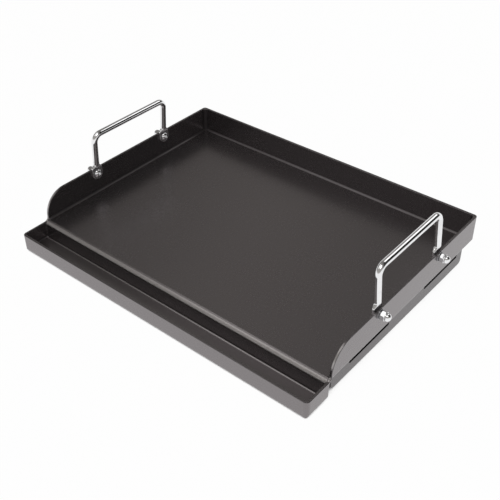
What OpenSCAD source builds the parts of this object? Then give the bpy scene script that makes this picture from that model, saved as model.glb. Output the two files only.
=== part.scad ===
// Camp griddle plate: a pressed steel pan with a grease trough along its front,
// two vented side rails under it and two bolted rod handles. All sizes are in mm.
// The origin is on the rest plane under the middle of the pan:
// +X to the right, +Y to the back, +Z up.

/* [Pan] */
// Outer width of the pan
pan_w = 434.4; // [380:0.2:560]
// Outer depth of the pan, from the front of the trough to the back wall
pan_d = 337; // [300:1:450]
// Thickness of the sheet
sheet_t = 3; // [2:0.1:3.6]
// Height of the cooking floor above the rest plane
floor_h = 25.7; // [24.5:0.1:34]
// Height of the walls above the cooking floor
wall_h = 34.5; // [30:0.5:50]
// Inner radius of the fold between the floor and the walls
fold_r = 2.5; // [1:0.25:4]
// Outer radius of the two upright corners at the back
back_corner_r = 4; // [3.5:0.25:12]
// Radius inside the same two corners, where their weld fills them out
inner_corner_r = 6; // [4:0.25:14]

/* [Trough] */
// Width of the trough's flat floor, from the front wall to the foot of the rear wall
trough_w = 30; // [22:0.5:40]
// Height of the trough's lip above the rest plane
lip_h = 23.7; // [20:0.1:24]
// Lean of the trough's rear wall, in degrees
rear_lean = 4; // [0:0.5:25]
// Radius of the rolled edge where the floor turns down into the trough
roll_r = 6; // [5:0.5:9]
// Inner radius of the folds at the rear and at the ends of the trough's floor
trough_fold_r = 2.5; // [1:0.25:4]
// Inner radius of the fold at its front
front_fold_r = 1; // [0.5:0.25:4]
// Outer radius of the trough's two upright front corners
trough_corner_r = 5; // [3.5:0.25:10]
// Radius of the hollow where a side wall's swoop runs out into the lip
swoop_foot_r = 5.5; // [3:0.5:8]

/* [Side rails] */
// Thickness of a rail
rail_t = 2.5; // [1.5:0.1:3]
// How far a rail is set in from the side wall's outer face
rail_inset = 3.75; // [3.25:0.25:12]
// Distance from the rolled edge to a rail's front end
rail_gap = 5; // [4:0.5:15]
// Distance from the back of the pan to a rail's rear end
rail_back = 19.5; // [10:0.5:30]
// Radius of a rail's lower end corners
rail_corner_r = 5; // [2:0.5:8]
// How far the front end of a rail's lower edge stands clear of the rest plane
rail_rise = 3.2; // [0:0.1:4]
// Length of the level foot at the rear end of the same edge
rail_foot_l = 40; // [20:1:80]
// Distance from a rail's front end to its first vent
vent_start = 32.5; // [15:0.5:40]
// Length of a vent
vent_l = 76; // [60:1:84]
// Distance from the second vent to the rail's rear end
vent_end = 13.5; // [10:0.5:30]
// Height of a vent under the floor
vent_h = 7.1; // [4:0.1:8]
// Radius of a vent's lower corners
vent_r = 1.5; // [0.5:0.25:2.5]

/* [Handles] */
// Diameter of the handle's rod
rod_d = 8; // [7:0.25:10]
// Distance between a handle's two bolts
bolt_pitch = 123; // [100:1:140]
// Distance from the back of the pan to the rear bolt
bolt_back = 90; // [70:0.5:110]
// Depth of the bolts below the top of the wall
bolt_drop = 6.5; // [6:0.1:10]
// Height of the handle's bar above the top of the wall, to its centre, before the lean
bar_rise = 49.5; // [40:0.5:70]
// Lean of the handle in over the pan, in degrees
handle_lean = 4.5; // [0:0.5:8]
// Radius of the rod's bends, at its centre
bend_r = 10; // [8:0.5:20]
// Thickness of the flattened tab at the foot of a leg
tab_t = 3; // [2:0.1:3.5]
// Width of the tab
tab_w = 16; // [14:0.5:20]
// Height of the tab's top above the top of the wall
tab_over = 1.5; // [1:0.25:4]
// Height of the neck between the tab and the round rod
neck_h = 6; // [4:0.5:10]

/* [Fasteners] */
// Diameter of the bolt's shank
bolt_d = 5.9; // [4.9:0.05:6]
// Length of bolt inside the nut
grip_l = 6.8; // [6:0.1:7.4]
// Diameter of the bolt's head
head_d = 10.5; // [9.5:0.1:12]
// Height of the bolt's head
head_h = 3.3; // [2.8:0.1:4]
// Height of the straight rim of the head
head_rim = 0.4; // [0.2:0.1:0.8]
// Width of the hexagon socket across its flats
socket_af = 4; // [3:0.5:5]
// Depth of the hexagon socket
socket_depth = 2.1; // [1.5:0.1:2.4]
// Diameter of the flat washer
washer_d = 12; // [11:0.1:14]
// Thickness of the flat washer
washer_t = 1; // [0.8:0.1:2]
// Diameter of the lock washer
lock_d = 11; // [10:0.1:12]
// Thickness of the lock washer
lock_t = 1.3; // [1.2:0.1:2]
// Width of the lock washer's slit
lock_slit = 1; // [0.5:0.1:2]
// Width of the nut across its flats
nut_af = 10; // [9.5:0.1:11]
// Height of the nut's hexagon
nut_hex_h = 5; // [4:0.1:6]
// Height of the whole nut with its dome
nut_h = 10.6; // [10.4:0.1:12]
// Diameter of the nut's dome
dome_d = 9.2; // [8.8:0.1:9.6]
// Chamfer on the nut's hexagon
nut_chamfer = 0.6; // [0.3:0.1:1]

/* [Clearances] */
// Around the bolt in the holes of the wall, the tab and the washers
hole_clear = 0.25; // [0.15:0.05:0.5]
// Around the bolt in the nut
thread_clear = 0.05; // [0.02:0.01:0.1]
// Beyond the bolt's tip in the nut
tip_clear = 0.7; // [0.4:0.1:0.9]

/* [Hidden] */
$fn = 96;

// Cuts reach this far past the surface that they start from
overcut = 1;
left = -1;
right = 1;
coating = "#4a4645";
coating_under = "#3b3838";
chrome = "#d9dadc";
steel = "#b9bbbe";

// Main levels and faces of the pan
wall_top = floor_h + wall_h;
floor_under = floor_h - sheet_t;
front_y = -pan_d / 2;
back_y = pan_d / 2;
inner_w = pan_w - 2 * sheet_t;
side_x = pan_w / 2;
inside_x = inner_w / 2;

// Rear wall of the trough: where its upper face would meet the trough's floor and the cooking floor
rear_turn = 90 - rear_lean;
half_turn = tan(rear_turn / 2);
foot_y = front_y + sheet_t + trough_w;
brow_y = foot_y + floor_under * tan(rear_lean);
// The same wall's lower face, where it would meet the rest plane
under_foot_y = foot_y + sheet_t * half_turn;
// Centre of the rolled edge
roll_y = brow_y + roll_r * half_turn;
roll_z = floor_h - roll_r;

// Swoop of the side walls
swoop_r = wall_top - lip_h - swoop_foot_r;
swoop_y = brow_y + swoop_foot_r + swoop_r;

// Rails
rail_front_y = roll_y + rail_gap;
rail_rear_y = back_y - rail_back;
rail_x = side_x - rail_inset;

// Handles and fasteners
bolt_z = wall_top - bolt_drop;
rear_bolt_y = back_y - bolt_back;
front_bolt_y = rear_bolt_y - bolt_pitch;
leg_x = inside_x - tab_t / 2;
tab_top_z = wall_top + tab_over;
rod_z = tab_top_z + neck_h;
bar_h = wall_top + bar_rise - rod_z;
head_x = inside_x - tab_t;
washer_x = side_x;
lock_x = washer_x + washer_t;
nut_x = lock_x + lock_t;
bolt_l = nut_x + grip_l - head_x;
hole_d = bolt_d + 2 * hole_clear;
thread_d = bolt_d + 2 * thread_clear;

// A (y, z) outline drawn out along X, centred
module along_x(width) {
  rotate([90, 0, 90])
    linear_extrude(width, center = true)
      children();
}

// An (x, z) outline drawn out along Y, over the whole depth
module along_y() {
  rotate([90, 0, 0])
    linear_extrude(pan_d + 2 * overcut, center = true)
      children();
}

// An (x, y) outline drawn up from below the rest plane past the top
module along_z() {
  translate([0, 0, -overcut])
    linear_extrude(wall_top + 4 * overcut)
      children();
}

// Mirrors what is drawn for the right side to the side asked for
module on_side(side) {
  mirror([side == left ? 1 : 0, 0, 0])
    children();
}

// What is drawn along +Z from the middle of the pan, turned onto a bolt's axis
module on_bolt(side, y) {
  on_side(side)
    translate([0, y, bolt_z])
      rotate([0, 90, 0])
        children();
}

// A rectangle with its two lower corners rounded
module channel(width, low, high, r) {
  translate([-width / 2, low + r])
    square([width, high - low - r]);
  translate([-width / 2 + r, low])
    square([width - 2 * r, high - low]);
  for (x = [-1, 1] * (width / 2 - r))
    translate([x, low + r])
      circle(r);
}

// A rectangle with only its lower back corner rounded
module heel(front, back, low, high, r) {
  translate([front, low + r])
    square([back - front, high - low - r]);
  translate([front, low])
    square([back - r - front, high - low]);
  translate([back - r, low + r])
    circle(r);
}

// The trough in side view, with an upright front, a leaning rear and both lower corners rounded
module trough_outline(front, foot, low, high, front_r, foot_r) {
  tangent = foot_r * half_turn;
  polygon([
    [front, high],
    [front, low + front_r],
    [front + front_r, low],
    [foot - tangent, low],
    [foot + tangent * sin(rear_lean), low + tangent * cos(rear_lean)],
    [foot + (high - low) * tan(rear_lean), high],
  ]);
  translate([front + front_r, low + front_r])
    circle(front_r);
  translate([foot - tangent, low + foot_r])
    circle(foot_r);
}

// A point on the rolled edge's circle of the given radius, where the rear wall leaves it
function roll_end(r) = [roll_y - r * cos(rear_lean), roll_z + r * sin(rear_lean)];

// Everything under the floor and behind the trough, in side view, with the inside of the roll as its round corner
module under_outline() {
  r = roll_r - sheet_t;
  start = roll_end(r);
  polygon([
    start,
    [roll_y, floor_under],
    [back_y, floor_under],
    [back_y, 0],
    [start[0] - start[1] * tan(rear_lean), 0],
  ]);
  translate([roll_y, roll_z])
    circle(r);
}

// The part of the sheet and of the side walls between the trough and the floor, in side view
module roll_outline() {
  low = roll_end(roll_r - sheet_t)[1] - sheet_t;
  difference() {
    translate([foot_y, low])
      square([roll_y - foot_y, wall_top - low]);
    under_outline();
  }
}

// The open space over the rolled edge, in side view
module over_roll_outline() {
  start = roll_end(roll_r);
  high = wall_top + overcut;
  difference() {
    polygon([
      [foot_y, start[1]],
      start,
      [roll_y, floor_h],
      [roll_y, high],
      [foot_y, high],
    ]);
    translate([roll_y, roll_z])
      circle(roll_r);
  }
}

// What the swoop takes off a side wall, in side view
module swoop_outline() {
  high = wall_top + overcut;
  low_y = front_y - overcut;
  difference() {
    translate([low_y, lip_h])
      square([swoop_y - low_y, high - lip_h]);
    translate([swoop_y, wall_top - swoop_r])
      circle(swoop_r);
    translate([swoop_y - swoop_r, lip_h])
      square([swoop_r, swoop_foot_r]);
    difference() {
      translate([brow_y, lip_h])
        square(swoop_foot_r);
      translate([brow_y, lip_h + swoop_foot_r])
        circle(swoop_foot_r);
    }
  }
}

// The pan before it is hollowed out
module pan_block() {
  trough_r = trough_fold_r + sheet_t;
  floor_r = fold_r + sheet_t;
  intersection() {
    along_x(pan_w)
      trough_outline(front_y, under_foot_y, 0, lip_h, front_fold_r + sheet_t, trough_r);
    along_y()
      channel(pan_w, 0, lip_h, trough_r);
    along_z()
      channel(pan_w, front_y, back_y, trough_corner_r);
  }
  along_x(pan_w)
    roll_outline();
  intersection() {
    along_x(pan_w)
      heel(roll_y - sheet_t, back_y, floor_under, wall_top, floor_r);
    along_y()
      channel(pan_w, floor_under, wall_top, floor_r);
    along_z()
      mirror([0, 1, 0])
        channel(pan_w, -back_y, -front_y, back_corner_r);
  }
}

// The inside of the pan: the trough, the cooking space and the space over the rolled edge
module pan_hollow() {
  high = wall_top + overcut;
  intersection() {
    along_x(inner_w)
      trough_outline(front_y + sheet_t, foot_y, sheet_t, high, front_fold_r, trough_fold_r);
    along_y()
      channel(inner_w, sheet_t, high, trough_fold_r);
    along_z()
      channel(inner_w, front_y + sheet_t, back_y, trough_corner_r - sheet_t);
  }
  along_x(inner_w)
    over_roll_outline();
  intersection() {
    along_x(inner_w)
      heel(brow_y, back_y - sheet_t, floor_h, high, fold_r);
    along_y()
      channel(inner_w, floor_h, high, fold_r);
    along_z()
      mirror([0, 1, 0])
        channel(inner_w, sheet_t - back_y, -front_y, inner_corner_r);
  }
}

module griddle_pan() {
  color(coating)
    difference() {
      pan_block();
      pan_hollow();
      for (side = [left, right])
        on_side(side)
          translate([side_x, 0, 0])
            along_x(2 * sheet_t)
              swoop_outline();
      for (side = [left, right], y = [front_bolt_y, rear_bolt_y])
        on_bolt(side, y)
          translate([0, 0, inside_x - overcut])
            cylinder(h = sheet_t + 2 * overcut, d = hole_d);
    }
}

// A rail in side view, level along its rear foot and rising a little from there to the front
module rail_outline() {
  r = rail_corner_r;
  polygon([
    [rail_front_y, floor_under],
    [rail_front_y, rail_rise + r],
    [rail_front_y + r, rail_rise],
    [rail_rear_y - rail_foot_l, 0],
    [rail_rear_y - r, 0],
    [rail_rear_y, r],
    [rail_rear_y, floor_under],
  ]);
  translate([rail_front_y + r, rail_rise + r])
    circle(r);
  translate([rail_rear_y - r, r])
    circle(r);
}

// A strip on edge under the floor, with long shallow notches in its top that leave vents
module side_rail(side) {
  color(coating_under)
    on_side(side)
      translate([rail_x - rail_t / 2, 0, 0])
        along_x(rail_t)
          difference() {
            rail_outline();
            for (start = [rail_front_y + vent_start, rail_rear_y - vent_end - vent_l])
              translate([start + vent_l / 2, 0])
                channel(vent_l, floor_under - vent_h, floor_under + overcut, vent_r);
          }
}

// What is drawn from the foot of a leg's round rod, set at its place and leant in over the pan
module on_foot(y) {
  translate([leg_x, y, rod_z])
    rotate([0, -handle_lean, 0])
      children();
}

// The flattened end of a leg and the neck that leads to its round rod
module handle_end(y) {
  slice = 0.1;
  difference() {
    translate([inside_x - tab_t / 2, 0, 0])
      along_x(tab_t)
        translate([y, bolt_z]) {
          circle(tab_w / 2);
          translate([-tab_w / 2, 0])
            square([tab_w, tab_top_z - bolt_z]);
        }
    on_bolt(right, y)
      translate([0, 0, head_x - overcut])
        cylinder(h = tab_t + 2 * overcut, d = hole_d);
  }
  hull() {
    translate([head_x, y - tab_w / 2, tab_top_z - slice])
      cube([tab_t, tab_w, slice]);
    on_foot(y)
      cylinder(h = slice, d = rod_d - slice, $fn = 32);
  }
}

// The round rod, from the foot of the front leg at the origin to the foot of the rear leg
module rod() {
  sunk = 0.5;
  for (end = [0, 1])
    translate([0, end * bolt_pitch, 0])
      mirror([0, end, 0]) {
        translate([0, 0, -sunk])
          cylinder(h = sunk + bar_h - bend_r, d = rod_d);
        translate([0, bend_r, bar_h - bend_r])
          mirror([0, 1, 0])
            rotate([90, 0, 90])
              rotate_extrude(angle = 90)
                translate([bend_r, 0])
                  circle(d = rod_d);
      }
  translate([0, bend_r, bar_h])
    rotate([-90, 0, 0])
      cylinder(h = bolt_pitch - 2 * bend_r, d = rod_d);
}

module handle(side) {
  color(chrome)
    on_side(side) {
      for (y = [front_bolt_y, rear_bolt_y])
        handle_end(y);
      on_foot(front_bolt_y)
        rod();
    }
}

// A button-head bolt, its head inside the pan
module bolt(side, y) {
  cap_h = head_h - head_rim;
  cap_r = (pow(head_d / 2, 2) + pow(cap_h, 2)) / (2 * cap_h);
  head_top = head_x - head_h;
  color(chrome)
    on_bolt(side, y) {
      difference() {
        intersection() {
          translate([0, 0, head_top + cap_r])
            sphere(cap_r);
          translate([0, 0, head_top])
            cylinder(h = head_h, d = head_d);
        }
        translate([0, 0, head_top - overcut])
          cylinder(h = socket_depth + overcut, d = socket_af / cos(30), $fn = 6);
      }
      translate([0, 0, head_x])
        cylinder(h = bolt_l, d = bolt_d);
    }
}

module washer(side, y) {
  color(steel)
    on_bolt(side, y)
      translate([0, 0, washer_x])
        difference() {
          cylinder(h = washer_t, d = washer_d);
          translate([0, 0, -overcut])
            cylinder(h = washer_t + 2 * overcut, d = hole_d);
        }
}

// A split spring washer, pressed flat by the nut
module lock_washer(side, y) {
  color(steel)
    on_bolt(side, y)
      translate([0, 0, lock_x])
        difference() {
          cylinder(h = lock_t, d = lock_d);
          translate([0, 0, -overcut]) {
            cylinder(h = lock_t + 2 * overcut, d = hole_d);
            translate([-lock_slit / 2, 0, 0])
              cube([lock_slit, lock_d, lock_t + 2 * overcut]);
          }
        }
}

// A domed nut, blind at its outer end
module acorn_nut(side, y) {
  corner_r = nut_af / 2 / cos(30);
  flat_r = corner_r - nut_chamfer;
  color(chrome)
    on_bolt(side, y)
      translate([0, 0, nut_x])
        difference() {
          union() {
            intersection() {
              cylinder(h = nut_hex_h, d = 2 * corner_r, $fn = 6);
              rotate_extrude()
                polygon([
                  [0, 0],
                  [flat_r, 0],
                  [corner_r, nut_chamfer],
                  [corner_r, nut_hex_h - nut_chamfer],
                  [flat_r, nut_hex_h],
                  [0, nut_hex_h],
                ]);
            }
            cylinder(h = nut_h - dome_d / 2, d = dome_d);
            translate([0, 0, nut_h - dome_d / 2])
              sphere(d = dome_d);
          }
          translate([0, 0, -overcut])
            cylinder(h = grip_l + tip_clear + overcut, d = thread_d);
        }
}

griddle_pan();
side_rail(left);  // left_side_rail
side_rail(right);  // right_side_rail
handle(left);  // left_handle
handle(right);  // right_handle
bolt(left, front_bolt_y);  // left_front_bolt
bolt(left, rear_bolt_y);  // left_rear_bolt
bolt(right, front_bolt_y);  // right_front_bolt
bolt(right, rear_bolt_y);  // right_rear_bolt
washer(left, front_bolt_y);  // left_front_washer
washer(left, rear_bolt_y);  // left_rear_washer
washer(right, front_bolt_y);  // right_front_washer
washer(right, rear_bolt_y);  // right_rear_washer
lock_washer(left, front_bolt_y);  // left_front_lock_washer
lock_washer(left, rear_bolt_y);  // left_rear_lock_washer
lock_washer(right, front_bolt_y);  // right_front_lock_washer
lock_washer(right, rear_bolt_y);  // right_rear_lock_washer
acorn_nut(left, front_bolt_y);  // left_front_acorn_nut
acorn_nut(left, rear_bolt_y);  // left_rear_acorn_nut
acorn_nut(right, front_bolt_y);  // right_front_acorn_nut
acorn_nut(right, rear_bolt_y);  // right_rear_acorn_nut
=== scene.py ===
import bmesh
import bpy
import math
from mathutils import Matrix, Vector


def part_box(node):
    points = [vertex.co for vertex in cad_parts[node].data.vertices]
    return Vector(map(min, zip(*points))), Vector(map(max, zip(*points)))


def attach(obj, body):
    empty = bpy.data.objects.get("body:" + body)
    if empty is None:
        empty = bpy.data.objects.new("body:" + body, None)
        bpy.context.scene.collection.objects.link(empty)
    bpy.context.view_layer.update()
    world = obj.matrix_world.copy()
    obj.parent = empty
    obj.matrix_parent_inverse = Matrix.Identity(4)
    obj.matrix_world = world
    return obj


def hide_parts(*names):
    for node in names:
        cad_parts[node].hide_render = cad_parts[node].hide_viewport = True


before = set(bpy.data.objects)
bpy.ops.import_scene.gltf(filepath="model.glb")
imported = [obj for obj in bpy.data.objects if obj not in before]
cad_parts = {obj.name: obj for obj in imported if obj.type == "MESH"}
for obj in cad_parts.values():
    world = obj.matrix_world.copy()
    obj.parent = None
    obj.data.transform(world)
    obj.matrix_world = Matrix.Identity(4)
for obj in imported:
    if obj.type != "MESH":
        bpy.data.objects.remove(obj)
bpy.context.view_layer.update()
scene = bpy.context.scene
mm = 0.001
sides = {"left": -1, "right": 1}
ends = ("front", "rear")


class Wire:
    # wraps one output of a node, so that sums written with it add Math nodes
    def __init__(self, tree, output=None):
        self.tree = tree
        self.output = output

    def add(self, kind, settings=None, links=None, output=0):
        node = self.tree.nodes.new(kind)
        for name, value in (settings or {}).items():
            setattr(node, name, value)
        for name, value in (links or {}).items():
            if isinstance(value, Wire):
                self.tree.links.new(value.output, node.inputs[name])
            else:
                node.inputs[name].default_value = value
        return Wire(self.tree, node.outputs[output])

    def sum(self, operation, first, second):
        return self.add("ShaderNodeMath", {"operation": operation}, {0: first, 1: second})

    def __add__(self, other):
        return self.sum("ADD", self, other)

    def __radd__(self, other):
        return self.sum("ADD", other, self)

    def __sub__(self, other):
        return self.sum("SUBTRACT", self, other)

    def __rsub__(self, other):
        return self.sum("SUBTRACT", other, self)

    def __mul__(self, other):
        return self.sum("MULTIPLY", self, other)

    def __rmul__(self, other):
        return self.sum("MULTIPLY", other, self)


def ramp(value, low, high):
    return value.add(
        "ShaderNodeMapRange",
        {"interpolation_type": "SMOOTHSTEP"},
        {"Value": value, "From Min": low, "From Max": high},
    )


def mixColours(factor, first, second):
    return factor.add("ShaderNodeMix", {"data_type": "RGBA"}, {0: factor, 6: first, 7: second}, 2)


def noise(place, scale, detail=2.0, roughness=0.5):
    links = {"Vector": place, "Scale": scale, "Detail": detail, "Roughness": roughness}
    return place.add("ShaderNodeTexNoise", links=links)


def stretched(place, scale, turn=(0, 0, 0)):
    return place.add("ShaderNodeMapping", links={"Vector": place, "Rotation": turn, "Scale": scale})


def attribute(place, name):
    return place.add("ShaderNodeAttribute", {"attribute_name": name}, output="Fac")


def newMaterial(name):
    material = bpy.data.materials.new(name)
    material.use_nodes = True
    material.node_tree.nodes.clear()
    start = Wire(material.node_tree)
    return material, start.add("ShaderNodeTexCoord", output="Object")


def finishMaterial(material, shader):
    output = material.node_tree.nodes.new("ShaderNodeOutputMaterial")
    material.node_tree.links.new(shader.output, output.inputs["Surface"])
    return material


def finishMetal(material, look, colour, rough, height):
    strength, depth = look["bump"]
    bump = colour.add("ShaderNodeBump", links={"Strength": strength, "Distance": depth, "Height": height})
    links = {"Base Color": colour, "Metallic": look["metallic"], "Roughness": rough, "Normal": bump}
    return finishMaterial(material, colour.add("ShaderNodeBsdfPrincipled", links=links))


# satin non-stick coat over steel: grey with a metal sheen, finely grained
coatLook = {
    "dark": (0.212, 0.196, 0.200, 1),
    "light": (0.246, 0.228, 0.232, 1),
    "metallic": 0.93,
    "roughness": 0.27,
    "patches": 26,  # to the metre, as are the next four
    "speckle": 1500,
    "grain": 2600,
    "markBreakup": 140,
    "scuffs": (9, 320, 40),
    "scuffTurn": (0, 0, 0.5),
    "scuffed": (0.62, 0.74),
    "mottle": (0.1, 0.5),  # how far patches and speckle change the colour
    "uneven": (0.012, 0.03, 0.008),  # how far patches, speckle and scuffs change the roughness
    "bump": (0.10, 0.00006),
    # faces marked on a mesh: painted shade on cut edges and the back wall, painted shade in the folds,
    # and a painted highlight on the rolled edge: the colour there, its share, the share that noise adds, and
    # the added roughness
    "marks": {
        # painted shade on the cut edges and on the back wall's inner face
        "rim": {"colour": (0.115, 0.106, 0.110, 1), "share": 0.55, "painted": 0.5, "dull": 0},
        # painted shade in the folds and inner corners, which are also rougher there
        "fold": {"colour": (0.070, 0.064, 0.066, 1), "share": 0.8, "painted": 0.3, "dull": 0.14},
        # painted highlight on the rolled front edge and the side walls' front rims, and faintly on the
        # trough's floor
        "roll": {"colour": (0.50, 0.48, 0.47, 1), "share": 0.5, "painted": 0.5, "dull": 0.10},
    },
}
# the pan's coat on the rails, darker all over: painted shade under the pan's overhang
shadedRailLook = {
    **coatLook,
    "dark": (0.112, 0.103, 0.106, 1),
    "light": (0.136, 0.126, 0.129, 1),
    "marks": {"rim": coatLook["marks"]["rim"]},
}
weldLook = {**coatLook, "roughness": 0.40, "marks": {}}


def coatedSteel(name, look):
    material, place = newMaterial(name)
    patches = noise(place, look["patches"], 4, 0.6)
    speckle = noise(place, look["speckle"], 2, 0.6)
    grain = noise(place, look["grain"], 1)
    scuffs = ramp(noise(stretched(place, look["scuffs"], look["scuffTurn"]), 1, 3), *look["scuffed"])
    byPatches, bySpeckle = look["mottle"]
    shade = 0.5 + (patches - 0.5) * byPatches + (speckle - 0.5) * bySpeckle
    colour = mixColours(shade, look["dark"], look["light"])
    byPatches, bySpeckle, byScuffs = look["uneven"]
    rough = look["roughness"] + (patches - 0.5) * byPatches + (speckle - 0.5) * bySpeckle - scuffs * byScuffs
    # noise that breaks up the painted light and shade of the marks
    markBreakup = noise(place, look["markBreakup"], 4, 0.7)
    # painted shade and painted highlight from the marked faces, mixed into the colour
    for mark, paintedMark in look["marks"].items():
        marked = attribute(place, mark)
        colour = mixColours(marked * (paintedMark["share"] + paintedMark["painted"] * markBreakup), colour, paintedMark["colour"])
        rough = rough + marked * paintedMark["dull"]
    return finishMetal(material, look, colour, rough, grain * 0.6 + speckle * 0.8)


# polished chrome plate, with faint smears and the slight waves of a polished rod
chromeLook = {
    "clear": (0.85, 0.85, 0.86, 1),
    "smeared": (0.72, 0.72, 0.73, 1),
    "metallic": 1.0,
    "roughness": 0.09,
    "smears": 55,  # to the metre, as are the next two
    "specks": 1900,
    "waves": 120,
    "tint": (0.6, 0.3),  # how far smears and specks change the colour
    "uneven": (0.07, 0.10, 0.24),  # how much smears, specks and pressing roughen it
    "bump": (0.08, 0.0004),
}


def chromePlate(name, look):
    material, place = newMaterial(name)
    smears = ramp(noise(place, look["smears"], 5, 0.65), 0.45, 0.75)
    specks = ramp(noise(place, look["specks"], 2), 0.66, 0.74)
    bySmears, bySpecks = look["tint"]
    colour = mixColours(smears * bySmears + specks * bySpecks, look["clear"], look["smeared"])
    bySmears, bySpecks, byPressing = look["uneven"]
    pressed = attribute(place, "pressed")
    rough = look["roughness"] + smears * bySmears + specks * bySpecks + pressed * byPressing
    return finishMetal(material, look, colour, rough, noise(place, look["waves"], 2))


# dull zinc plate and darker spring steel, with a bloom and a fine grain
zincLook = {
    "bright": (0.60, 0.60, 0.62, 1),
    "dull": (0.40, 0.40, 0.41, 1),
    "metallic": 1.0,
    "roughness": 0.30,
    "bloom": 420,  # to the metre, as is the grain
    "grain": (2600, 500, 500),
    "mottle": (1.3, 0.6),  # how far bloom and grain change the colour
    "uneven": (0.16, 0.12),  # and the roughness
    "bump": (0.12, 0.00005),
}
springLook = {
    **zincLook,
    "bright": (0.30, 0.30, 0.31, 1),
    "dull": (0.17, 0.17, 0.175, 1),
    "roughness": 0.36,
}


def platedSteel(name, look):
    material, place = newMaterial(name)
    bloom = noise(place, look["bloom"], 4, 0.6)
    grain = noise(stretched(place, look["grain"]), 1, 3)
    byBloom, byGrain = look["mottle"]
    shade = 0.5 + (bloom - 0.5) * byBloom + (grain - 0.5) * byGrain
    byBloom, byGrain = look["uneven"]
    rough = look["roughness"] + (bloom - 0.5) * byBloom + (grain - 0.5) * byGrain
    return finishMetal(material, look, mixColours(shade, look["dull"], look["bright"]), rough, grain)


panCoat = coatedSteel("panCoat", coatLook)
shadedRailCoat = coatedSteel("shadedRailCoat", shadedRailLook)
weldCoat = coatedSteel("weldCoat", weldLook)
chrome = chromePlate("chrome", chromeLook)
zinc = platedSteel("zinc", zincLook)
springSteel = platedSteel("springSteel", springLook)
print("materials made")


def savePiece(name, bm, material, body, nodes=(), smoothUnder=34):
    mesh = bpy.data.meshes.new(name)
    bm.to_mesh(mesh)
    bm.free()
    mesh.shade_smooth()
    mesh.set_sharp_from_angle(angle=math.radians(smoothUnder))
    mesh.materials.append(material)
    piece = bpy.data.objects.new(name, mesh)
    scene.collection.objects.link(piece)
    even = piece.modifiers.new("evenNormals", "WEIGHTED_NORMAL")
    even.keep_sharp = True
    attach(piece, body)
    if nodes:
        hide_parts(*nodes)
    return piece


def onlyEdges(geometry):
    return [item for item in geometry if isinstance(item, bmesh.types.BMEdge)]


def onlyVerts(geometry):
    return [item for item in geometry if isinstance(item, bmesh.types.BMVert)]


def nextRing(bm, edges):
    made = bmesh.ops.extrude_edge_only(bm, edges=edges)["geom"]
    return onlyEdges(made), onlyVerts(made)


def everything(bm):
    return bm.verts[:] + bm.edges[:] + bm.faces[:]


def sortMesh(bm):
    # a bevel's order of edges and faces changes from run to run, and even normals depend on it
    bm.verts.index_update()
    for items in (bm.edges, bm.faces):
        ranked = sorted(items, key=lambda item: sorted(vert.index for vert in item.verts))
        for rank, item in enumerate(ranked):
            item.index = rank
        items.sort()


def boltPlace(side, end):
    low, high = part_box(f"{side}_{end}_washer")
    return (low + high) / 2


bolts = {(side, end): boltPlace(side, end) for side in sides for end in ends}


def markFaces(bm, name, share):
    layer = bm.loops.layers.float_color.new(name)
    for face in bm.faces:
        value = share(face)
        for loop in face.loops:
            loop[layer] = (value, value, value, 1)


# pressed and cut pieces: the solid's shape with its raw edges dressed; millimetres and degrees
dressing = {
    "pan": {
        "edge": 0.6,
        "turn": 40,
        "segments": 3,
        "nearBolt": 7,  # edges this near a bolt stay as they are
        # beside the folds, so that no long face takes on the turn of a fold at its end
        "cuts": {
            (1, 0, 0): (-211.4, -207.9, 207.9, 211.4),
            (0, 1, 0): (-163.2, 159.2, 162.7),
            (0, 0, 1): (5.8, 28.5, 59.2),
        },
    },
    "rail": {"edge": 0.35, "turn": 40, "segments": 2},
    "washer": {"edge": 0.15, "turn": 40, "segments": 2},
    "lock_washer": {"edge": 0.18, "turn": 40, "segments": 2},
    "acorn_nut": {"edge": 0.16, "turn": 24, "segments": 2},
}
cleaning = {"merge": 0.004, "flat": 0.4, "sliver": 0.005}  # what counts as one point, as flat and as no face


def dressed(node, dress, rimShadeShare=lambda face: 0.0):
    bm = bmesh.new()
    bm.from_mesh(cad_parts[node].data)
    bmesh.ops.remove_doubles(bm, verts=bm.verts, dist=cleaning["merge"] * mm)
    bmesh.ops.dissolve_limit(bm, angle_limit=math.radians(cleaning["flat"]), verts=bm.verts, edges=bm.edges)
    reach = dress.get("nearBolt", 0) * mm
    raw = [
        edge
        for edge in bm.edges
        if edge.is_manifold
        and edge.is_convex
        and edge.calc_face_angle() > math.radians(dress["turn"])
        and not any((vert.co - place).length < reach for vert in edge.verts for place in bolts.values())
    ]
    made = bmesh.ops.bevel(
        bm,
        geom=raw,
        offset=dress["edge"] * mm,
        offset_type="OFFSET",
        affect="EDGES",
        segments=dress["segments"],
        profile=0.5,
        material=-1,
        clamp_overlap=False,
    )
    bevelled = set(made["faces"])
    # painted shade on the bevelled cut edges, and on the faces that the given share picks out
    markFaces(bm, "rim", lambda face: 1.0 if face in bevelled else rimShadeShare(face))
    for way, places in dress.get("cuts", {}).items():
        for place in places:
            bmesh.ops.bisect_plane(bm, geom=everything(bm), plane_co=Vector(way) * place * mm, plane_no=way)
    bmesh.ops.dissolve_degenerate(bm, dist=cleaning["sliver"] * mm, edges=bm.edges)
    return bm


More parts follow.
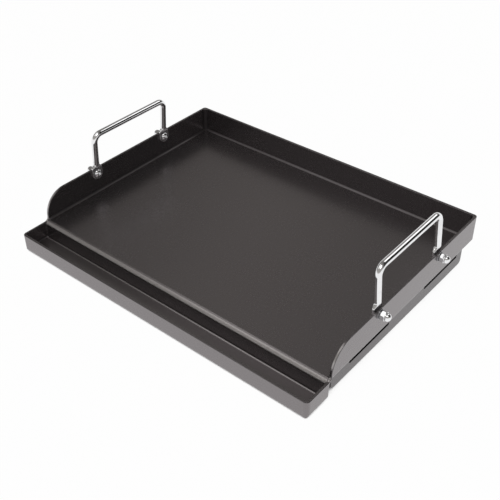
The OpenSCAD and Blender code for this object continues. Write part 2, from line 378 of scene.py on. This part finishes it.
# where light and shade are painted on the pan's coat; places in millimetres, tilts in degrees
panPaintedLight = {
    # painted highlight on the rolled front edge, chosen by the faces' tilt
    "roll": {"y": (-137, -124), "over": 16, "tilt": (20, 38, 62, 80)},  # the rolled front edge
    # painted highlight on the side walls' rims, in front
    "swoop": {"outside": 214.1, "ahead": -80, "flat": 0.2},  # the rims of the side walls, in front
    # faint painted highlight on the trough's upward faces
    "trough": {"ahead": -134, "z": (2.9, 3.2), "level": 0.9, "share": 0.12},  # its floor
    # painted shade in the folds around the cooking floor
    "fold": {"z": (25.71, 28.5), "behind": -122, "tilt": (3, 87), "back": 0.45, "side": 0.8},
    # painted shade in the folds at the trough's ends
    "end": {"under": 5.8, "ahead": -134, "aside": 0.3, "share": 1.0},  # the folds at the trough's ends
    # painted shade on the back wall, and in the corners at its ends
    "wall": {"behind": 155, "over": 26.2, "upright": 0.1, "share": 0.8, "turned": 0.1, "corner": 1.0},
}


def within(value, limits):
    low, high = limits
    return low < value < high


# share of the painted highlight on each face: the rolled edge by its tilt, the front rims, and the trough's
# floor
def paintedHighlightShare(face):
    roll, swoop, trough = (panPaintedLight[name] for name in ("roll", "swoop", "trough"))
    middle = face.calc_center_median() / mm
    if middle.y < trough["ahead"] and within(middle.z, trough["z"]):
        return trough["share"] * (face.normal.z > trough["level"])
    if abs(middle.x) > swoop["outside"]:
        painted = middle.y < swoop["ahead"] and abs(face.normal.x) < swoop["flat"]
    else:
        painted = within(middle.y, roll["y"]) and middle.z > roll["over"]
    if not painted or face.normal.z <= 0:
        return 0
    low, fromLow, fromHigh, high = roll["tilt"]
    tilt = math.degrees(math.atan2(-face.normal.y, face.normal.z))
    return max(0, min(1, (tilt - low) / (fromLow - low), (high - tilt) / (high - fromHigh)))


def onBackWall(face):
    wall = panPaintedLight["wall"]
    middle = face.calc_center_median() / mm
    upright = abs(face.normal.z) < wall["upright"] and face.normal.y < 0
    return upright and middle.y > wall["behind"] and middle.z > wall["over"]


# share of the painted shade on the back wall
def wallShadeShare(face):
    return panPaintedLight["wall"]["share"] * onBackWall(face)


# share of the painted shade in the folds, the back wall's corners and the trough's ends
def foldShare(face):
    fold, end, wall = (panPaintedLight[name] for name in ("fold", "end", "wall"))
    if onBackWall(face) and abs(face.normal.x) > wall["turned"]:
        return wall["corner"]
    middle = face.calc_center_median() / mm
    if not within(math.degrees(face.normal.angle(Vector((0, 0, 1)), 0)), fold["tilt"]):
        return 0
    aside = abs(face.normal.x) > end["aside"]
    if aside and middle.z < end["under"] and middle.y < end["ahead"]:
        return end["share"]
    if within(middle.z, fold["z"]) and middle.y > fold["behind"]:
        return fold["side" if aside else "back"]
    return 0


panMesh = dressed("griddle_pan", dressing["pan"], wallShadeShare)
markFaces(panMesh, "roll", paintedHighlightShare)
markFaces(panMesh, "fold", foldShare)
sortMesh(panMesh)
savePiece("pan_sheet", panMesh, panCoat, "griddle", ["griddle_pan"])
print("pan dressed")

for side in sides:
    node = f"{side}_side_rail"
    strip = dressed(node, dressing["rail"])
    savePiece(f"{side}_rail_strip", strip, shadedRailCoat, "griddle", [node])
print("rails dressed")

# short fillet welds inside each rail, with the ripples of their passes; millimetres
weldSizes = {
    "runs": ((6, 22), (114, 22), (154, 22), (261, 8)),  # start, from the rail's front, and length
    "leg": 2.3,
    "ripple": 1.5,
    "ripples": 0.10,  # how far a ripple falls, as a share of the leg
    "step": 0.5,
    "taper": 1.2,  # a bead's ends round off over this length
    "blunt": 0.15,
    "around": 14,
}


def weldBead(bm, start, length, sizes):
    middle = start.copy()
    turned = Matrix.Translation(middle) @ Matrix.Rotation(math.radians(90), 4, "X")
    made = bmesh.ops.create_circle(bm, segments=sizes["around"], radius=sizes["leg"] * mm, matrix=turned)
    ring = made["verts"]
    loop = [edge for edge in bm.edges if all(vert in ring for vert in edge.verts)]
    size = 1
    for count in range(round(length / sizes["step"]) + 1):
        along = count * sizes["step"]
        toEnd = max(0, min(along, length - along) + sizes["blunt"])
        wave = 1 - sizes["ripples"] * ((along % sizes["ripple"]) / sizes["ripple"])
        wanted = min(1, math.sqrt(toEnd / sizes["taper"])) * wave
        if count:
            loop, verts = nextRing(bm, loop)
            bmesh.ops.translate(bm, verts=verts, vec=(0, sizes["step"] * mm, 0))
            middle.y += sizes["step"] * mm
        bmesh.ops.scale(
            bm,
            vec=(wanted / size, 1, wanted / size),
            space=Matrix.Translation(-middle),
            verts=list({vert for edge in loop for vert in edge.verts}),
        )
        size = wanted


for side, sign in sides.items():
    low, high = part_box(f"{side}_side_rail")
    inner = low.x if sign > 0 else high.x
    bm = bmesh.new()
    for start, length in weldSizes["runs"]:
        weldBead(bm, Vector((inner, low.y + start * mm, high.z)), length, weldSizes)
    bmesh.ops.holes_fill(bm, edges=bm.edges, sides=weldSizes["around"] + 1)
    bmesh.ops.recalc_face_normals(bm, faces=bm.faces)
    savePiece(f"{side}_rail_welds", bm, weldCoat, "griddle", smoothUnder=60)
print("rail welds laid")

# bent rod with flattened feet; millimetres, for the right side
handleSizes = {
    "rod": 4.0,
    "legX": 212.7,
    "footZ": 67.7,
    "barRise": 42.0,
    "bend": 10.0,
    "lean": 4.5,  # degrees, in over the pan
    "tabTop": 61.7,
    "tabHalf": 8.0,
    "tabThin": 1.5,
    "squareness": 0.30,  # 1 leaves the tab oval, less makes it flatter
    "neckRings": 9,
    "endRings": 9,
    "endTurn": 86.4,  # degrees of the tab's round end, before its closing face
    "around": 40,
    "bendSteps": 16,
    "seam": 0.02,  # points nearer than this join where the halves meet
}


def startRing(bm, segments, radius):
    # a circle whose points keep the angle that they stand at
    turn = bm.verts.layers.float.new("turn")
    verts = bmesh.ops.create_circle(bm, segments=segments, radius=radius)["verts"]
    for vert in verts:
        vert[turn] = math.atan2(vert.co.y, vert.co.x)
    return turn, verts


def rounded(value, power):
    return math.copysign(abs(value) ** power, value)


def halfHandle(bm, sizes, bolt, middleY):
    rod, bend = sizes["rod"] * mm, sizes["bend"] * mm
    half, thin, top = (sizes[name] * mm for name in ("tabHalf", "tabThin", "tabTop"))
    foot = Vector((sizes["legX"] * mm, bolt.y, sizes["footZ"] * mm))
    straight = sizes["barRise"] * mm - bend
    lean = math.radians(-sizes["lean"])
    turn, _ = startRing(bm, sizes["around"], rod)
    footEdges = list(bm.edges)
    edges, verts = nextRing(bm, footEdges)
    bmesh.ops.translate(bm, verts=verts, vec=(0, 0, straight))
    bent = bmesh.ops.spin(
        bm,
        geom=edges + verts,
        cent=(0, bend, straight),
        axis=(1, 0, 0),
        angle=math.radians(-90),
        steps=sizes["bendSteps"],
    )["geom_last"]
    edges, verts = nextRing(bm, onlyEdges(bent))
    bmesh.ops.translate(bm, verts=verts, vec=(0, middleY - bolt.y - bend, 0))
    leaning = Matrix.Translation(foot) @ Matrix.Rotation(lean, 4, "Y")
    bmesh.ops.transform(bm, matrix=leaning, verts=bm.verts)

    # down from the foot: the neck flattens into the tab, which ends in a half round
    shares = [step / sizes["neckRings"] for step in range(1, sizes["neckRings"] + 1)]
    levels = [(foot.z + (top - foot.z) * share, share) for share in shares]
    levels += [((top + bolt.z) / 2, 1), (bolt.z, 1)]
    for step in range(1, sizes["endRings"] + 1):
        turned = math.radians(sizes["endTurn"] * step / sizes["endRings"])
        levels.append((bolt.z - half * math.sin(turned), 1))
    edges = footEdges
    for level, share in levels:
        edges, verts = nextRing(bm, edges)
        flat = share * share * (3 - 2 * share)
        below = max(0, bolt.z - level) / half
        wide = half * math.sqrt(max(0, 1 - below * below))
        tilt = lean * (1 - flat)
        for vert in verts:
            aside, along = math.cos(vert[turn]), math.sin(vert[turn])
            x = rod * aside + (thin * rounded(aside, sizes["squareness"]) - rod * aside) * flat
            y = rod * along + (wide * rounded(along, sizes["squareness"]) - rod * along) * flat
            vert.co = Vector((foot.x + x * math.cos(tilt), bolt.y + y, level - x * math.sin(tilt)))
    bmesh.ops.contextual_create(bm, geom=edges)


def handle(side, sizes):
    front = bolts["right", "front"]
    middleY = (front.y + bolts["right", "rear"].y) / 2
    bm = bmesh.new()
    halfHandle(bm, sizes, front, middleY)
    bmesh.ops.mirror(
        bm,
        geom=everything(bm),
        matrix=Matrix.Translation((0, -middleY, 0)),
        merge_dist=sizes["seam"] * mm,
        axis="Y",
    )
    bmesh.ops.scale(bm, vec=(sides[side], 1, 1), verts=bm.verts)
    bmesh.ops.remove_doubles(bm, verts=bm.verts, dist=sizes["seam"] * mm / 2)
    bmesh.ops.recalc_face_normals(bm, faces=bm.faces)
    markFaces(bm, "pressed", lambda face: float(face.calc_center_median().z < sizes["tabTop"] * mm))
    return bm


for side in sides:
    rodMesh = handle(side, handleSizes)
    savePiece(f"{side}_handle_rod", rodMesh, chrome, "griddle", [f"{side}_handle"], 50)
print("handles bent")

# button-head bolt with a hexagon socket and a rolled thread; millimetres from the seat of its head
boltSizes = {
    "head": 5.25,
    "headHigh": 3.3,
    "rim": 0.4,
    "chamfer": 0.12,  # under the rim
    "domeRings": (0.97, 0.92, 0.84, 0.74, 0.63, 0.54),  # in times the head's radius
    "socket": 2.0,  # half its width across flats
    "socketDeep": 2.1,
    "flare": 1.10,  # the socket's chamfered mouth, in times its width
    "mouth": 1.18,  # where the mouth's level is taken on the dome, likewise
    "flareDeep": 0.16,
    "pit": 0.55,  # the drilled pit at the bottom, likewise
    "pitDeep": 0.25,
    "shank": 2.95,
    "root": 2.42,
    "plain": 6.1,
    "runOut": 0.2,
    "tip": 0.5,
    "long": 15.1,
    "pitch": 1.0,
    "turns": 8,
    "turnSteps": 28,
    "ridge": (0.36, 0.50, 0.86),  # heights of the ridge's crest and of its upper foot
    "sunk": 0.1,  # how far the ridge's foot lies in the root
    "around": 48,
}


def boltHead(sizes):
    head, high, socket = sizes["head"], sizes["headHigh"], sizes["socket"]
    cap = high - sizes["rim"]
    ball = (head ** 2 + cap ** 2) / (2 * cap)

    def dome(radius):
        return ball - high - math.sqrt(ball ** 2 - radius ** 2)

    mouth = dome(socket * sizes["mouth"])
    bottom = sizes["socketDeep"] - high
    rings = [(head, -sizes["chamfer"], 0), (head, -sizes["rim"], 0)]
    rings += [(head * share, dome(head * share), 0) for share in sizes["domeRings"]]
    rings.append((socket * sizes["flare"], mouth, 1))
    rings.append((socket, mouth + sizes["flareDeep"], 1))
    rings.append((socket, bottom, 1))
    rings.append((socket * sizes["pit"], bottom + sizes["pitDeep"], 0.5))
    return rings


def boltShank(sizes):
    return [
        (sizes["head"] - sizes["chamfer"], 0, 0),
        (sizes["shank"], 0, 0),
        (sizes["shank"], sizes["plain"], 0),
        (sizes["root"], sizes["plain"] + sizes["runOut"], 0),
        (sizes["root"], sizes["long"] - sizes["tip"], 0),
        (sizes["root"] - sizes["tip"], sizes["long"], 0),
    ]


def placeRing(verts, turn, radius, level, hexagon):
    # hexagon is 0 for a circle, 1 for a hexagon with that radius across its flats
    for vert in verts:
        around = vert[turn]
        fromFlat = (around + math.pi / 6) % (math.pi / 3) - math.pi / 6
        reach = radius * (1 + hexagon * (1 / math.cos(fromFlat) - 1))
        vert.co = Vector((reach * math.cos(around), reach * math.sin(around), level)) * mm


def boltThread(bm, sizes):
    outer = sizes["shank"] * mm
    sunk = (sizes["root"] - sizes["sunk"]) * mm
    low = (sizes["plain"] + sizes["runOut"]) * mm
    crestLow, crestHigh, foot = sizes["ridge"]
    ridge = ((sunk, 0), (outer, crestLow), (outer, crestHigh), (sunk, foot))
    profile = [bm.verts.new((radius, 0, low + rise * mm)) for radius, rise in ridge]
    loop = [bm.edges.new((profile[count - 1], profile[count])) for count in range(len(profile))]
    wound = bmesh.ops.spin(
        bm,
        geom=profile + loop,
        cent=(0, 0, 0),
        axis=(0, 0, 1),
        dvec=(0, 0, sizes["pitch"] * mm / sizes["turnSteps"]),
        angle=2 * math.pi * sizes["turns"],
        steps=sizes["turnSteps"] * sizes["turns"],
    )["geom_last"]
    bmesh.ops.contextual_create(bm, geom=loop)
    bmesh.ops.contextual_create(bm, geom=onlyEdges(wound))


def bolt(side, end, sizes):
    bm = bmesh.new()
    turn, start = startRing(bm, sizes["around"], sizes["head"] * mm)
    first = list(bm.edges)
    head = boltHead(sizes)
    placeRing(start, turn, *head[0])
    for rings in (head[1:], boltShank(sizes)):
        edges = first
        for ring in rings:
            edges, verts = nextRing(bm, edges)
            placeRing(verts, turn, *ring)
        bmesh.ops.contextual_create(bm, geom=edges)
    boltThread(bm, sizes)
    bmesh.ops.recalc_face_normals(bm, faces=bm.faces)

    place = bolts[side, end]
    low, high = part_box(f"{side}_{end}_bolt")
    seat = max(abs(low.x), abs(high.x)) - sizes["long"] * mm
    toSide = Matrix.Rotation(math.radians(90 * sides[side]), 4, "Y")
    placed = Matrix.Translation((sides[side] * seat, place.y, place.z)) @ toSide
    bmesh.ops.transform(bm, matrix=placed, verts=bm.verts)
    return bm


# what stands on each bolt: its node, its body, its finish and slot, and the angle it is smooth under
fittings = {
    "flat_washer": ("washer", "washers", zinc, "plated_steel", 34),
    "spring_washer": ("lock_washer", "washers", springSteel, "plated_steel", 34),
    "domed_nut": ("acorn_nut", "nut", chrome, "chrome", 22),
}
for side, end in bolts:
    corner = f"{side}_{end}"
    boltMesh = bolt(side, end, boltSizes)
    savePiece(f"{corner}_button_bolt", boltMesh, chrome, "griddle", [f"{corner}_bolt"])
    for name, (kind, body, finish, slotName, smoothUnder) in fittings.items():
        node = f"{corner}_{kind}"
        mesh = dressed(node, dressing[kind])
        savePiece(f"{corner}_{name}", mesh, finish, f"{corner}_{body}", [node], smoothUnder)
print("fasteners fitted")

# white table that keeps a soft shadow
tableLook = {
    "size": 24.0,
    "colour": (0.93, 0.93, 0.93, 1),
    "glow": 0.98,
    "reach": 0.07,  # how near the object stands where it shades the table
    "shaded": (0.16, 0.42),
}


def seenRays(start):
    rays = [start.add("ShaderNodeLightPath", output=name)
            for name in ("Is Camera Ray", "Is Glossy Ray", "Is Transmission Ray")]
    return start.add("ShaderNodeClamp", links={0: rays[0] + rays[1] + rays[2]})


def tableWhite(look):
    material, place = newMaterial("tableWhite")
    paint = place.add("ShaderNodeBsdfDiffuse", links={"Color": look["colour"]})
    glow = place.add("ShaderNodeEmission", links={"Color": (1, 1, 1, 1), "Strength": 1.0})
    clear = place.add("ShaderNodeAmbientOcclusion", {"samples": 8}, {"Distance": look["reach"]}, "AO")
    factor = seenRays(place) * look["glow"] * ramp(clear, *look["shaded"])
    return finishMaterial(material, place.add("ShaderNodeMixShader", links={0: factor, 1: paint, 2: glow}))


bm = bmesh.new()
bmesh.ops.create_grid(bm, x_segments=1, y_segments=1, size=tableLook["size"] / 2)
tableMesh = bpy.data.meshes.new("table")
bm.to_mesh(tableMesh)
bm.free()
tableMesh.materials.append(tableWhite(tableLook))
table = bpy.data.objects.new("table", tableMesh)
scene.collection.objects.link(table)

# plain studio: white to the horizon and dim overhead
studio = {
    "horizon": 1.0,
    "above": 0.33,
    "fade": (0.05, 0.34),
    "leftDrop": 0.19,  # the ceiling is darker far to the left
    "leftFade": (-0.70, -0.50),
    "rightDrop": 0.16,  # and from there to the right, behind
    "rightFade": (-0.50, -0.34),
    "frontLift": 0.03,
    "frontFade": (-0.3, 0.3),
    "warm": (1.0, 0.965, 0.92, 1),  # the ceiling's tint
    "flag": 0.90,  # a dark screen stands behind, to the right
    "flagAside": (0.16, 0.42),
    "flagBehind": (0.10, 0.40),
}


def studioWorld(look):
    world = bpy.data.worlds.new("studio")
    world.use_nodes = True
    world.node_tree.nodes.clear()
    way = Wire(world.node_tree).add("ShaderNodeTexCoord", output="Generated")
    aside, behind, height = (way.add("ShaderNodeSeparateXYZ", links={0: way}, output=axis) for axis in "XYZ")
    toBack = ramp(behind, *look["frontFade"])
    above = look["above"] - look["leftDrop"] * (1 - ramp(aside, *look["leftFade"]))
    above = above - look["rightDrop"] * ramp(aside, *look["rightFade"]) * toBack
    above = above + look["frontLift"] * (1 - toBack)
    overhead = ramp(height, *look["fade"])
    level = look["horizon"] + (above - look["horizon"]) * overhead
    flag = ramp(aside, *look["flagAside"]) * ramp(behind, *look["flagBehind"])
    level = level * (1 - flag * look["flag"])
    seen = way.add("ShaderNodeLightPath", output="Is Camera Ray")
    tint = mixColours(overhead * (1 - seen), (1, 1, 1, 1), look["warm"])
    backdrop = way.add("ShaderNodeBackground", links={"Color": tint, "Strength": level + seen * (1 - level)})
    output = world.node_tree.nodes.new("ShaderNodeOutputWorld")
    world.node_tree.links.new(backdrop.output, output.inputs["Surface"])
    return world


scene.world = studioWorld(studio)

# soft boxes: each faces the origin, with its width along the object's; metres
lamps = {
    "topBox": {"way": (-0.38, -0.33, 0.865), "away": 2.2, "size": (0.8, 1.5), "watts": 3.9},
    "backBox": {"way": (0.13, 0.66, 0.74), "away": 2.2, "size": (1.0, 0.8), "watts": 3.5},
    "keyBox": {"way": (0.30, -0.35, 0.89), "away": 2.3, "size": (1.0, 1.0), "watts": 9.0},
}
for name, lamp in lamps.items():
    light = bpy.data.lights.new(name, "AREA")
    light.shape = "RECTANGLE"
    light.size, light.size_y = lamp["size"]
    light.energy = lamp["watts"]
    box = bpy.data.objects.new(name, light)
    way = Vector(lamp["way"]).normalized()
    along = (Vector((1, 0, 0)) - way * way.x).normalized()
    square = Matrix((along, way.cross(along), way)).transposed().to_4x4()
    box.matrix_world = Matrix.Translation(way * lamp["away"]) @ square
    box.visible_camera = False
    scene.collection.objects.link(box)
print("stage lit")

# camera at the photograph's angle; degrees and metres
shot = {
    "azimuth": 40.165,
    "elevation": 36.844,
    "roll": -0.664,
    "away": 1.0045,
    "target": (0.0, 0.0003, 0.0219),
    "lens": 59.286,
    "sensor": 36.0,
    "shift": (0.0083, -0.0233),
    "farthest": 60.0,
}
azimuth, elevation, roll = (math.radians(shot[name]) for name in ("azimuth", "elevation", "roll"))
level = Vector((math.sin(azimuth), -math.cos(azimuth), 0))
back = level * math.cos(elevation) + Vector((0, 0, math.sin(elevation)))
across = Vector((0, 0, 1)).cross(back).normalized()
upward = back.cross(across)
turnedAcross = across * math.cos(roll) + upward * math.sin(roll)
turnedUp = upward * math.cos(roll) - across * math.sin(roll)
lens = bpy.data.cameras.new("camera")
lens.lens = shot["lens"]
lens.sensor_width = shot["sensor"]
lens.shift_x, lens.shift_y = shot["shift"]
lens.clip_end = shot["farthest"]
viewer = bpy.data.objects.new("camera", lens)
axes = Matrix((turnedAcross, turnedUp, back)).transposed().to_4x4()
viewer.matrix_world = Matrix.Translation(Vector(shot["target"]) + back * shot["away"]) @ axes
scene.collection.objects.link(viewer)
scene.camera = viewer
scene.view_settings.view_transform = "Standard"
